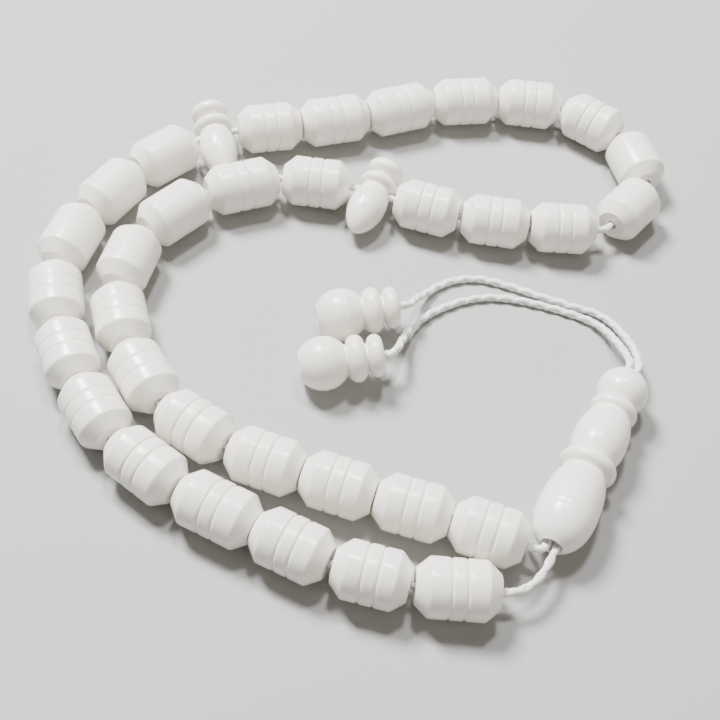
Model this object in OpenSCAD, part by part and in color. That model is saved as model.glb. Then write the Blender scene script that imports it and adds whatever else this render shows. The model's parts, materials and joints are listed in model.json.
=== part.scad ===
// A string of prayer beads lying in its doubled loop on a table.
// Thirty-three turned beads ride on one plaited cord between two cross-drilled
// marker beads. Both ends of the cord run through a long turned leader and end
// in two turned tips. Millimetres, +Z up, the table at z = 0.

/* [Counting beads] */
// Usual length of a counting bead along its cord
bead_len = 12; // [9:0.5:16]
// Diameter of a counting bead
bead_dia = 8.8; // [6.5:0.1:11]
// Diameter of the flat at each end of a bead
bead_face_dia = 5.2; // [3:0.1:6]
// Length of the cone at each end of a bead
bead_cone = 2; // [1:0.1:3.5]
// Distance between the two turned grooves
groove_pitch = 2.2; // [1.5:0.1:4]
// Width of a turned groove
groove_width = 0.6; // [0.2:0.05:0.8]
// Depth of a turned groove
groove_depth = 0.26; // [0.1:0.02:0.5]
// Least gap between two beads on the cord
bead_gap = 0.1; // [0.1:0.05:1]
// Extra slack on the cord at the bend after the nineteenth bead
bend_slack = 1.5; // [0.2:0.1:4]

/* [Marker beads] */
// Diameter of a marker's collar, its widest part
marker_dia = 7; // [5.5:0.1:9]
// Length of a marker's pointed end, from the cross hole
marker_point = 9.3; // [8:0.1:12]
// Length of a marker's head, from the cross hole
marker_head = 6.9; // [6:0.1:9]
// Angle that a marker's pointed end hangs below level
marker_droop = 7; // [0:1:8]

/* [Leader] */
// Length of the leader along its cords
leader_len = 35.2; // [30:0.1:45]
// Diameter of the leader's large oval
leader_dia = 9.3; // [7:0.1:11]

/* [Tips] */
// Length of a tip along its cord
tip_len = 13.6; // [11:0.1:18]
// Diameter of a tip's ball
tip_dia = 8.8; // [7:0.1:10]
// Diameter of the stopper knot inside a tip
knot_dia = 2.8; // [2.2:0.1:3.2]
// Length of the stopper knot
knot_len = 2.6; // [2:0.1:4]

/* [Cord] */
// Diameter of the plaited cord
cord_dia = 1.4; // [1:0.05:1.7]
// Radial clearance of the cord in every bore
bore_clear = 0.08; // [0.04:0.01:0.1]
// Chamfer at the mouth of every bore
bore_chamfer = 0.15; // [0.1:0.05:0.4]

/* [Hidden] */
beads = 33;
run = 11;
bone = [0.93, 0.91, 0.85];
cord_white = [0.96, 0.96, 0.95];
$fn = 64;

function bead_name(i) = str("bead_", i < 10 ? "0" : "", i);

// ---- small vector helpers ----
function flat_dir(a) = [cos(a), sin(a), 0];
function unit(v) = v / norm(v);
function turn_between(u, v) = acos(min(1, max(-1, unit(u) * unit(v))));

// ---- the string: beads in order, each with its heading on the table ----
start = [26, -52.1];
marker_after = [run, 2 * run + 1];
slack_after = 19;
headings = [
    -177, -188, -200, -201, -212, -231, -241, -253, -281, -297, -312,
    -330,
    -342, -338, -333, -346, -359, -390, -430, -485, -535, -541, -550,
    -553,
    -539, -514, -488, -458, -429, -413, -388, -374, -372, -370, -374
];
// Hand-turned beads differ: how much longer each one is than the usual bead.
bead_longer = [
    0.2, -0.8, -0.3, 0.6, 0.3, -0.4, -0.6, -0.4, 0, 0, -0.2,
    -0.4, 0.7, 0.8, 0.2, -0.2, -0.6, -0.6, -0.6, -0.4, -0.2, -0.4,
    0, 0.8, 0.4, -0.4, -0.6, -0.4, -0.2, -0.4, -0.8, -0.6, -0.8
];
row_gap = 0.3;
space_per_dia = 1.31;
// A marker lies askew, so it takes a little more of the cord than its width.
marker_room = 0.8;

// Room that a usual bead takes on the cord: its length, or more where a fat
// bead would otherwise touch the row beside it.
bead_space = max(bead_len, (bead_dia + row_gap) * space_per_dia);
function is_marker(i) = i == marker_after[0] || i == marker_after[1];
function bead_number(i) =
    i + 1 - (i > marker_after[0] ? 1 : 0) - (i > marker_after[1] ? 1 : 0);
function space(i) =
    is_marker(i)
        ? marker_dia + marker_room
        : bead_space + bead_longer[bead_number(i) - 1];

// Distance from an end face to the corner where two straight axes meet, so
// that the rims of the two end faces clear each other on the inside of a bend.
// The last face has no corner after it.
function face_to_corner(i) = i >= len(headings) - 1 ? 0 :
    (bead_gap + (i == slack_after ? bend_slack : 0)) / 2
    + bead_face_dia / 2 * tan(abs(headings[i + 1] - headings[i]) / 2);

string_z = bead_dia / 2;
faces = [
    for (
        i = 0, p = [start.x, start.y, string_z];
        i < len(headings);
        p = p + (space(i) + face_to_corner(i)) * flat_dir(headings[i])
            + (i < len(headings) - 1 ? face_to_corner(i) * flat_dir(headings[i + 1]) : [0, 0, 0]),
        i = i + 1
    ) p
];
last = len(headings) - 1;
function centre(i) = faces[i] + space(i) / 2 * flat_dir(headings[i]);
function corner(i) =
    faces[i] + (space(i) + face_to_corner(i)) * flat_dir(headings[i]);
string_end = faces[last] + space(last) * flat_dir(headings[last]);

// Place on the string of counting bead n, from 1, and of marker m, from 1.
function bead_place(n) = n - 1 + floor((n - 1) / run);
function marker_place(m) = marker_after[m - 1];

// ---- the leader: a turned piece beside the string's two ends ----
leader_heading = 69;
leader_from_string = [3.6, 0.2, 0];
leader_z = leader_dia / 2;
leader_dir = flat_dir(leader_heading);
leader_side = flat_dir(leader_heading - 90);
leader_foot = [string_end.x, string_end.y, leader_z] + leader_from_string;
leader_top = leader_foot + leader_len * leader_dir;
cord_part = 0.1;
cord_offset = (cord_dia + cord_part) / 2 * leader_side;

// ---- the tail cords: points from the leader's top, chosen by hand, each with
// its height above where the cord would lie on the table ----
leader_travel = 2;
tail_straight = leader_travel + 0.4;
tail_a_points = [
    [1.6, 4.8, 3.3], [1, 7.7, 2.5], [-0.3, 10.9, 1.5], [-2, 13.8, 0.6],
    [-4.6, 15.8, 0.1], [-8.4, 16.7, 0], [-11.7, 17.5, 0], [-15, 18.3, 0],
    [-18.4, 19.2, 0], [-21.2, 19.8, 0], [-24, 20.2, 0], [-26.8, 19.9, 0],
    [-29.4, 18.9, 0], [-31.8, 17.2, 0.1], [-33.5, 15.1, 0.6],
    [-34.9, 12.9, 1.7], [-35.7, 11, 3], [-36.2, 9.3, 4.2], [-37, 8.2, 4.8]
];
tail_b_points = [
    [-0.2, 5, 3.3], [-1.3, 7.8, 2.4], [-2.6, 10.6, 1.4], [-4.3, 12.9, 0.5],
    [-6.4, 14.2, 0.1], [-8.8, 15, 0], [-11.9, 15.7, 0], [-15, 16.2, 0],
    [-18, 16.5, 0], [-20.8, 16.5, 0], [-23.2, 16.2, 0], [-25.4, 15.5, 0],
    [-27.5, 14.6, 0], [-29.6, 13.3, 0], [-31.6, 11.8, 0.1], [-33.5, 9.9, 0.3],
    [-35.1, 7.7, 0.8], [-36.2, 5.3, 1.6], [-36.9, 2.9, 2.7],
    [-37.4, 0.6, 3.9], [-37.9, -1.2, 4.6], [-38.7, -2.2, 4.8]
];
tail_room = 1.4;
tail_end_points = 4;

// ---- the tips: turned pieces at the tails' ends, each resting on its ball
// while the stiff cord lifts its ringed end ----
tip_heading = -165;
tip_lift = 6;
tip_a_entry = [-38.3, 7.7];
tip_b_entry = [-39.9, -2.6];
tip_gap = 0.15;
tip_ring_1 = [1.25, 3.5 / 4.4 * tip_dia / 2, 1.25];
tip_ring_2 = [4.4, 3.85 / 4.4 * tip_dia / 2, 1.5];
tip_neck_r = 0.5 * tip_dia / 2;
tip_flat_r = 2.1;
tip_ball_r = tip_dia / 2;
tip_ball_at = tip_len - sqrt(pow(tip_ball_r, 2) - pow(tip_flat_r, 2));
tip_entry_z = tip_ball_r + tip_ball_at * sin(tip_lift);
tip_dir = [
    cos(tip_lift) * cos(tip_heading),
    cos(tip_lift) * sin(tip_heading),
    -sin(tip_lift)
];
tip_side = flat_dir(tip_heading - 90);
tips_apart = (tip_a_entry - tip_b_entry) * [tip_side.x, tip_side.y];
tips_spread = max(0, tip_ball_r + tip_ring_2[1] + tip_gap - tips_apart) * tip_side;
knot_clear = 0.3;
pocket_r = knot_dia / 2 + knot_clear;
pocket_depth = knot_len + 1;
knot_at = tip_len - pocket_depth;
knot_seat = 0.02;

function tip_a_place() =
    leader_top * [[1, 0, 0], [0, 1, 0], [0, 0, 0]]
    + [tip_a_entry.x, tip_a_entry.y, tip_entry_z] + tips_spread / 2;
function tip_b_place() =
    leader_top * [[1, 0, 0], [0, 1, 0], [0, 0, 0]]
    + [tip_b_entry.x, tip_b_entry.y, tip_entry_z] - tips_spread / 2;

// ---- cords: an eight-sided tube swept along points ----
cord_sides = 8;
cord_r = cord_dia / 2;

// Direction of a route at its point i, halfway between its two stretches.
function route_dir(p, i) =
    i == 0 ? unit(p[1] - p[0])
    : i == len(p) - 1 ? unit(p[i] - p[i - 1])
    : unit(unit(p[i] - p[i - 1]) + unit(p[i + 1] - p[i]));
function mitre(p, i) =
    i == 0 || i == len(p) - 1 ? 1
    : 1 / cos(turn_between(p[i] - p[i - 1], p[i + 1] - p[i]) / 2);
function ring_points(p, i, d) =
    let (side = unit(cross(d, [0, 0, 1])), up = cross(side, d))
    [
        for (k = [0 : cord_sides - 1])
            let (a = 360 * (k + 0.5) / cord_sides)
            p[i] + cord_r * (mitre(p, i) * cos(a) * side + sin(a) * up)
    ];

module cord_along(p, first_dir, last_dir) {
    n = len(p);
    rings = [
        for (i = [0 : n - 1])
            ring_points(p, i, i == 0 ? first_dir : i == n - 1 ? last_dir : route_dir(p, i))
    ];
    points = [for (ring = rings, q = ring) q];
    walls = [
        for (i = [0 : n - 2], k = [0 : cord_sides - 1])
            let (
                a = i * cord_sides + k,
                b = i * cord_sides + (k + 1) % cord_sides,
                c = a + cord_sides,
                d = b + cord_sides
            )
            each [[a, b, d], [a, d, c]]
    ];
    foot = [[for (k = [cord_sides - 1 : -1 : 0]) k]];
    head = [[for (k = [0 : cord_sides - 1]) (n - 1) * cord_sides + k]];
    color(cord_white)
        polyhedron(points, concat(walls, foot, head));
}

// A smooth lead from point a, heading u, to point b, heading v.
function lead(a, u, b, v, n) = [
    for (k = [1 : n])
        let (
            t = k / (n + 1),
            h1 = 2 * pow(t, 3) - 3 * pow(t, 2) + 1,
            h2 = pow(t, 3) - 2 * pow(t, 2) + t,
            h3 = -2 * pow(t, 3) + 3 * pow(t, 2),
            h4 = pow(t, 3) - pow(t, 2)
        )
        h1 * a + h2 * u + h3 * b + h4 * v
];

// ---- the loop: up the leader's right side, round the string, and back up its
// left side, in one length ----
lead_in_leader = 0.5;
right_foot = leader_foot + cord_offset;
left_foot = leader_foot - cord_offset;
right_pull = 14;
left_pull = 5;
loop_points = concat(
    [leader_top + cord_offset, right_foot + lead_in_leader * leader_dir],
    lead(
        right_foot, -right_pull * leader_dir,
        faces[0], right_pull * flat_dir(headings[0]), 8
    ),
    [faces[0] - 0.3 * flat_dir(headings[0])],
    [for (i = [0 : last - 1]) corner(i)],
    [string_end + 0.3 * flat_dir(headings[last])],
    lead(
        string_end, left_pull * flat_dir(headings[last]),
        left_foot, left_pull * leader_dir, 5
    ),
    [left_foot + lead_in_leader * leader_dir, leader_top - cord_offset]
);
module loop_cord() {
    cord_along(loop_points, -leader_dir, leader_dir);
}

// ---- the tails: straight out of the leader, laid on the table, into a tip ----
function laid(points, aside, shift) = [
    for (i = [0 : len(points) - 1])
        let (q = points[i])
        [leader_top.x + q.x, leader_top.y + q.y, cord_r + q.z]
            + (i < len(points) - tail_end_points ? aside : shift)
];
tail_aside = [0, max(0, cord_dia - tail_room), 0];
function tail_points(side, points, aside, shift, place) = concat(
    [leader_top + side, leader_top + side + tail_straight * leader_dir],
    laid(points, aside, shift),
    [place, place + (knot_at + knot_seat) * tip_dir]
);
tail_a_route =
    tail_points(cord_offset, tail_a_points, tail_aside, tips_spread / 2, tip_a_place());
tail_b_route =
    tail_points(-cord_offset, tail_b_points, -tail_aside, -tips_spread / 2, tip_b_place());
module tail_cord_a() {
    cord_along(tail_a_route, leader_dir, tip_dir);
}
module tail_cord_b() {
    cord_along(tail_b_route, leader_dir, tip_dir);
}

// ---- turned pieces: each is a profile of [radius, distance along the piece]
// turned about its own +Z, which is then laid along a direction ----
module lay_along(place, dir) {
    translate(place)
        rotate([0, 90 - asin(dir.z), atan2(dir.y, dir.x)])
            children();
}

// A bore through a turned piece, chamfered at both mouths.
module bore(from, to, r) {
    over = 1;
    translate([0, 0, from - over])
        cylinder(h = to - from + 2 * over, r = r);
    mouth(from, r, 1);
    mouth(to, r, -1);
}
module mouth(at, r, inward) {
    over = 0.2;
    rise = bore_chamfer + over;
    translate([0, 0, inward > 0 ? at - over : at - bore_chamfer])
        cylinder(
            h = rise,
            r1 = r + (inward > 0 ? rise : 0),
            r2 = r + (inward > 0 ? 0 : rise)
        );
}

bead_bore_r = cord_r + bore_clear;

// A counting bead: a cylinder with a cone at each end and two turned grooves.
module bead_shape(length) {
    r = bead_dia / 2;
    half = length / 2;
    g = groove_pitch / 2;
    w = groove_width / 2;
    difference() {
        rotate_extrude()
            polygon([
                [0, -half],
                [bead_face_dia / 2, -half],
                [r, -half + bead_cone],
                [r, -g - w],
                [r - groove_depth, -g],
                [r, -g + w],
                [r, g - w],
                [r - groove_depth, g],
                [r, g + w],
                [r, half - bead_cone],
                [bead_face_dia / 2, half],
                [0, half]
            ]);
        bore(-half, half, bead_bore_r);
    }
}
module counting_bead(n) {
    i = bead_place(n);
    color(bone)
        lay_along(centre(i), flat_dir(headings[i]))
            bead_shape(bead_len + bead_longer[n - 1]);
}

// Radius of a rounded ring of radius r and half-width h, centred at c.
function ring_r(u, c, r, h) = abs(u - c) >= h ? 0 : r - h + sqrt(h * h - pow(u - c, 2));
// Radius of an oval of radius r that reaches a below its centre c and b above.
function oval_r(u, c, r, a, b, bulge = 2.2) =
    let (t = abs(u - c) / (u < c ? a : b))
    t >= 1 ? 0 : r * pow(1 - pow(t, bulge), 1 / bulge);

// The leader's outline, from its foot to its top.
leader_ring_1 = [15.3, 4.5 / 4.65, 1.3];
leader_ring_2 = [27.1, 3.85 / 4.65, 1.25];
leader_oval_2 = [20.6, 4.3 / 4.65, 5.6, 7.4];
leader_ball = 4.1 / 4.65;
leader_oval_1 = [6.5, 6.9, 10.2];
leader_steps = 64;
leader_bore_r = cord_dia + cord_part / 2 + bore_clear;
leader_unit = leader_len / 35.2;
function leader_outline(z) =
    let (r = leader_dia / 2, u = z / leader_unit, ball = leader_ball * r)
    max(
        oval_r(u, leader_oval_1[0], r, leader_oval_1[1], leader_oval_1[2]),
        ring_r(u, leader_ring_1[0], leader_ring_1[1] * r, leader_ring_1[2]),
        oval_r(u, leader_oval_2[0], leader_oval_2[1] * r, leader_oval_2[2], leader_oval_2[3]),
        ring_r(u, leader_ring_2[0], leader_ring_2[1] * r, leader_ring_2[2]),
        oval_r(u, 31.5, ball, ball, ball, 2)
    );
module leader() {
    color(bone)
        lay_along(leader_foot, leader_dir)
            difference() {
                rotate_extrude()
                    polygon(concat(
                        [[0, 0]],
                        [
                            for (k = [0 : leader_steps])
                                let (z = leader_len * k / leader_steps)
                                [max(leader_bore_r + 0.4, leader_outline(z)), z]
                        ],
                        [[0, leader_len]]
                    ));
                bore(0, leader_len, leader_bore_r);
            }
}

// A marker: a pointed oval, a collar and a domed head, drilled across just
// under the collar. Its head lies beside the string.
marker_r = marker_dia / 2;
marker_oval = [-3.2, 6.2, 0.95];
marker_turn = [-9, -4];
marker_collar = [1.9, 1.15];
marker_disc = [5.2, 3.35 / 3.5, 1.75];
marker_neck = 0.6;
marker_steps = 48;
function marker_outline(z) =
    let (
        below = max(0, (marker_oval[0] - z) / (marker_point + marker_oval[0])),
        above = max(0, (z - marker_oval[0]) / marker_oval[1])
    )
    max(
        z < marker_oval[0]
            ? marker_oval[2] * marker_r * pow(max(0, 1 - pow(below, 2)), 0.62)
            : above >= 1 ? 0 : marker_oval[2] * marker_r * sqrt(1 - pow(above, 2)),
        ring_r(z, marker_collar[0], marker_r, marker_collar[1]),
        z > 0 && z < marker_disc[0] ? marker_neck * marker_r : 0,
        oval_r(z, marker_disc[0], marker_disc[1] * marker_r,
            marker_disc[2], marker_head - marker_disc[0], 2.4)
    );
module marker(m) {
    i = marker_place(m);
    out = flat_dir(headings[i] + (m == 1 ? 90 : -90) + marker_turn[m - 1]);
    dir = cos(marker_droop) * out + [0, 0, sin(marker_droop)];
    span = marker_point + marker_head;
    color(bone)
        difference() {
            lay_along(centre(i), dir)
                rotate_extrude()
                    polygon([
                        for (k = [0 : marker_steps])
                            let (z = -marker_point + span * k / marker_steps)
                            [k == 0 || k == marker_steps ? 0 : marker_outline(z), z]
                    ]);
            lay_along(centre(i), flat_dir(headings[i]))
                cylinder(h = 2 * marker_dia, r = bead_bore_r, center = true);
        }
}

// A tip: two rounded rings and a ball with a flat end, bored for the cord and
// pocketed for its knot.
tip_steps = 48;
function tip_outline(z) =
    max(
        z < tip_ring_2[0] + tip_ring_2[2] + 0.3 ? tip_neck_r : 0,
        ring_r(z, tip_ring_1[0], tip_ring_1[1], tip_ring_1[2]),
        ring_r(z, tip_ring_2[0], tip_ring_2[1], tip_ring_2[2]),
        oval_r(z, tip_ball_at, tip_ball_r, tip_ball_r, tip_ball_r, 2)
    );
module tip(place) {
    color(bone)
        lay_along(place, tip_dir)
            difference() {
                rotate_extrude()
                    polygon(concat(
                        [[0, 0]],
                        [
                            for (k = [0 : tip_steps])
                                let (z = tip_len * k / tip_steps)
                                [max(tip_neck_r, tip_outline(z)), z]
                        ],
                        [[0, tip_len]]
                    ));
                bore(0, tip_len, bead_bore_r);
                translate([0, 0, knot_at])
                    cylinder(h = pocket_depth + 1, r = pocket_r);
                mouth(tip_len, pocket_r, -1);
            }
}
module tip_a() {
    tip(tip_a_place());
}
module tip_b() {
    tip(tip_b_place());
}

// A stopper knot: a rounded barrel that sits on the floor of a tip's pocket.
module knot(place) {
    round_r = 0.9;
    r = knot_dia / 2;
    color(cord_white)
        lay_along(place + (knot_at + knot_seat) * tip_dir, tip_dir)
            rotate_extrude()
                polygon(concat(
                    [[0, 0]],
                    [
                        for (a = [-90 : 15 : 0])
                            [r - round_r + round_r * cos(a), round_r + round_r * sin(a)]
                    ],
                    [
                        for (a = [0 : 15 : 90])
                            [r - round_r + round_r * cos(a), knot_len - round_r + round_r * sin(a)]
                    ],
                    [[0, knot_len]]
                ));
}
module knot_a() {
    knot(tip_a_place());
}
module knot_b() {
    knot(tip_b_place());
}

for (n = [1 : beads])
    counting_bead(n);
marker(1);  // marker_1
marker(2);  // marker_2
leader();
tip_a();
tip_b();
loop_cord();
tail_cord_a();
tail_cord_b();
knot_a();
knot_b();
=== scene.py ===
"""A string of turned bone prayer beads, laid out on a table in its doubled loop.

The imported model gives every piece's place: each turned piece is modelled here
upright at the origin, then laid along its own axis of the string.
"""

import json
import math
import random

import bpy
import numpy as np
from bpy.props import FloatProperty, FloatVectorProperty, IntProperty, PointerProperty
from mathutils import Matrix, Vector


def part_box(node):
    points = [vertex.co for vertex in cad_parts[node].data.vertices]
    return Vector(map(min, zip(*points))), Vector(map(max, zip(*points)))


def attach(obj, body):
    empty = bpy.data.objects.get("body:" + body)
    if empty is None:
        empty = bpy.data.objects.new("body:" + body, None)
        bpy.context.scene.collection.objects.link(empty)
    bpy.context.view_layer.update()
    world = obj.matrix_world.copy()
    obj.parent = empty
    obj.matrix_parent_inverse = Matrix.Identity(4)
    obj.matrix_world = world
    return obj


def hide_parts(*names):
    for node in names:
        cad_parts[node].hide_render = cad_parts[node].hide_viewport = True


bl_info = {
    "name": "Prayer Bead String",
    "version": (1, 0, 0),
    "blender": (4, 5, 0),
    "location": "View3D > Sidebar > Prayer Beads",
    "description": "Models a thirty-three bead prayer string with markers, leader and tips",
    "category": "Add Mesh",
}

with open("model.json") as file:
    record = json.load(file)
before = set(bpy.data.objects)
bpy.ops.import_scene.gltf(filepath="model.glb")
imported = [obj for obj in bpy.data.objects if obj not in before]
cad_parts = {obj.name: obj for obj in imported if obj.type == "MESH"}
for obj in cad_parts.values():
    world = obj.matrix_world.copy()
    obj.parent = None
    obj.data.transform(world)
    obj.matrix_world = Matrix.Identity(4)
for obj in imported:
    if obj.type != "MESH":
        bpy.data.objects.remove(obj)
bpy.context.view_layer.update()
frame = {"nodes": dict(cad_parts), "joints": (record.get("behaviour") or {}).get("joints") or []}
JOINTS = {joint["child"]: joint for joint in frame["joints"]}

MM = 0.001
BEAD_NAMES = [f"bead_{n:02d}" for n in range(1, 34)]
UP = Vector((0, 0, 1))
GRAIN_POLISH = 0.14
BORE_CHAMFER = 0.15 * MM
LEAST_WALL = 0.4 * MM
MODEL_SHIFT = 200


def height_of(node):
    low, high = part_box(node)
    return high.z - low.z


# ---------------------------------------------------------------- settings


class BeadSettings(bpy.types.PropertyGroup):
    """Sizes of a counting bead."""

    length: FloatProperty(
        name="Length", description="Usual length of a counting bead along its cord",
        default=12 * MM, min=0.005, subtype="DISTANCE", unit="LENGTH")
    diameter: FloatProperty(
        name="Diameter", description="Diameter of a counting bead",
        default=height_of("bead_01"), min=0.003, subtype="DISTANCE", unit="LENGTH")
    face: FloatProperty(
        name="End flat", description="Diameter of the flat at each end",
        default=5.2 * MM, min=0.001, subtype="DISTANCE", unit="LENGTH")
    cone: FloatProperty(
        name="Cone", description="Length of the cone at each end",
        default=2 * MM, min=0.0005, subtype="DISTANCE", unit="LENGTH")
    groove_pitch: FloatProperty(
        name="Groove pitch", description="Distance between the two turned grooves",
        default=2.2 * MM, min=0.001, subtype="DISTANCE", unit="LENGTH")
    groove_width: FloatProperty(
        name="Groove width", description="Width of a turned groove at its mouth",
        default=0.6 * MM, min=0.0001, subtype="DISTANCE", unit="LENGTH")
    groove_depth: FloatProperty(
        name="Groove depth", description="Depth of a crisp turned groove",
        default=0.27 * MM, min=0, subtype="DISTANCE", unit="LENGTH")
    edge: FloatProperty(
        name="Edge", description="Radius of a bead's polished edges",
        default=0.26 * MM, min=0, subtype="DISTANCE", unit="LENGTH")


class TurnedSettings(bpy.types.PropertyGroup):
    """Sizes of the markers, the leader and the tips."""

    sides: IntProperty(
        name="Sides", description="Faces round a turned piece", default=72, min=24)
    marker_diameter: FloatProperty(
        name="Marker", description="Diameter of a marker's collar",
        default=7 * MM, min=0.002, subtype="DISTANCE", unit="LENGTH")
    marker_point: FloatProperty(
        name="Marker point", description="Length of a marker's pointed end from its cross hole",
        default=9.3 * MM, min=0.002, subtype="DISTANCE", unit="LENGTH")
    marker_head: FloatProperty(
        name="Marker head", description="Length of a marker's head from its cross hole",
        default=6.9 * MM, min=0.002, subtype="DISTANCE", unit="LENGTH")
    marker_droop: FloatProperty(
        name="Droop", description="Angle that a marker's pointed end hangs below level",
        default=math.radians(7), subtype="ANGLE", unit="ROTATION")
    leader_diameter: FloatProperty(
        name="Leader", description="Diameter of the leader's large oval",
        default=height_of("leader"), min=0.003, subtype="DISTANCE", unit="LENGTH")
    tip_diameter: FloatProperty(
        name="Tip", description="Diameter of a tip's ball",
        default=8.8 * MM, min=0.002, subtype="DISTANCE", unit="LENGTH")
    tip_length: FloatProperty(
        name="Tip length", description="Length of a tip along its cord",
        default=13.6 * MM, min=0.002, subtype="DISTANCE", unit="LENGTH")


class CordSettings(bpy.types.PropertyGroup):
    """The plaited cord."""

    diameter: FloatProperty(
        name="Diameter", description="Diameter of the plaited cord",
        default=1.4 * MM, min=0.0005, subtype="DISTANCE", unit="LENGTH")
    clearance: FloatProperty(
        name="Clearance", description="Radial clearance of the cord in a bore",
        default=0.08 * MM, min=0, subtype="DISTANCE", unit="LENGTH")
    strands: IntProperty(
        name="Strands", description="Strands wound each way in the plait", default=2, min=1)
    lay: FloatProperty(
        name="Lay", description="Length of one full turn of a strand",
        default=5.8 * MM, min=0.001, subtype="DISTANCE", unit="LENGTH")
    color: FloatVectorProperty(
        name="Colour", description="Colour of the thread",
        default=(0.9, 0.9, 0.88), min=0, max=1, subtype="COLOR")


class BoneSettings(bpy.types.PropertyGroup):
    """The polished bone."""

    light: FloatVectorProperty(
        name="Light", description="The lighter grain of the bone",
        default=(0.95, 0.84, 0.62), min=0, max=1, subtype="COLOR")
    dark: FloatVectorProperty(
        name="Dark", description="The darker grain of the bone",
        default=(0.89, 0.725, 0.46), min=0, max=1, subtype="COLOR")
    cream: FloatVectorProperty(
        name="Cream", description="The tint of the creamier pieces",
        default=(0.86, 0.66, 0.31), min=0, max=1, subtype="COLOR")
    # Colour of the dark pores and of the painted shade in the grooves, creases and bore mouths.
    stain_and_shade: FloatVectorProperty(
        name="Stain", description="Handling stain held in grooves and pits",
        default=(0.42, 0.27, 0.15), min=0, max=1, subtype="COLOR")
    roughness: FloatProperty(
        name="Roughness", description="Roughness of the duller grain",
        default=0.3, min=0, max=1, subtype="FACTOR")


class StageSettings(bpy.types.PropertyGroup):
    """Floor and camera."""

    floor_size: FloatProperty(
        name="Floor", description="Width of the floor",
        default=3.0, min=0.5, subtype="DISTANCE", unit="LENGTH")
    floor_color: FloatVectorProperty(
        name="Floor colour", description="Colour of the plain floor",
        default=(0.4, 0.4, 0.395), min=0, max=1, subtype="COLOR")
    camera_place: FloatVectorProperty(
        name="Camera", description="Place of the camera",
        default=(0.0022, -0.12874, 0.1549), subtype="TRANSLATION", unit="LENGTH")
    camera_dip: FloatProperty(
        name="Dip", description="Angle that the camera looks down",
        default=math.radians(52.8), subtype="ANGLE", unit="ROTATION")
    camera_roll: FloatProperty(
        name="Roll", description="Roll of the camera",
        default=math.radians(7.3), subtype="ANGLE", unit="ROTATION")
    camera_lens: FloatProperty(
        name="Lens", description="Focal length in millimetres on a 36 mm sensor",
        default=59.05, min=10)


# ---------------------------------------------------------------- materials


class Shading:
    """Adds and joins the nodes of one material."""

    def __init__(self, name):
        self.material = bpy.data.materials.new(name)
        self.material.use_nodes = True
        self.nodes = self.material.node_tree.nodes
        self.links = self.material.node_tree.links
        self.shader = self.nodes["Principled BSDF"]

    def add(self, kind, inputs=None, **settings):
        node = self.nodes.new(kind)
        for key, value in settings.items():
            setattr(node, key, value)
        for key, value in (inputs or {}).items():
            self.put(node.inputs[key], value)
        return node

    def put(self, socket, value):
        if isinstance(value, bpy.types.NodeSocket):
            self.links.new(value, socket)
        else:
            socket.default_value = value

    def noise(self, coords, scale, detail=2.0, roughness=0.5):
        inputs = {"Vector": coords, "Scale": scale, "Detail": detail, "Roughness": roughness}
        return self.add("ShaderNodeTexNoise", inputs).outputs["Fac"]

    def stretch(self, coords, scale):
        return self.add(
            "ShaderNodeVectorMath", {0: coords, 1: scale}, operation="MULTIPLY").outputs[0]

    def maths(self, operation, a, b=0.0, clamp=False):
        return self.add(
            "ShaderNodeMath", {0: a, 1: b}, operation=operation, use_clamp=clamp).outputs[0]

    def band(self, value, low, high):
        """0 below low and 1 above high, smoothly."""
        inputs = {"Value": value, "From Min": low, "From Max": high}
        return self.add(
            "ShaderNodeMapRange", inputs, interpolation_type="SMOOTHSTEP").outputs["Result"]

    def mix(self, amount, a, b):
        node = self.add("ShaderNodeMix", data_type="RGBA")
        self.put(node.inputs[0], amount)
        self.put(node.inputs[6], a)
        self.put(node.inputs[7], b)
        return node.outputs[2]

    def attribute(self, name):
        return self.add("ShaderNodeAttribute", attribute_name=name).outputs

    def bump(self, height, strength, distance, normal=None):
        inputs = {"Height": height, "Strength": strength, "Distance": distance}
        if normal is not None:
            inputs["Normal"] = normal
        return self.add("ShaderNodeBump", inputs).outputs["Normal"]


def rgba(color):
    return (*color, 1.0)


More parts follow.
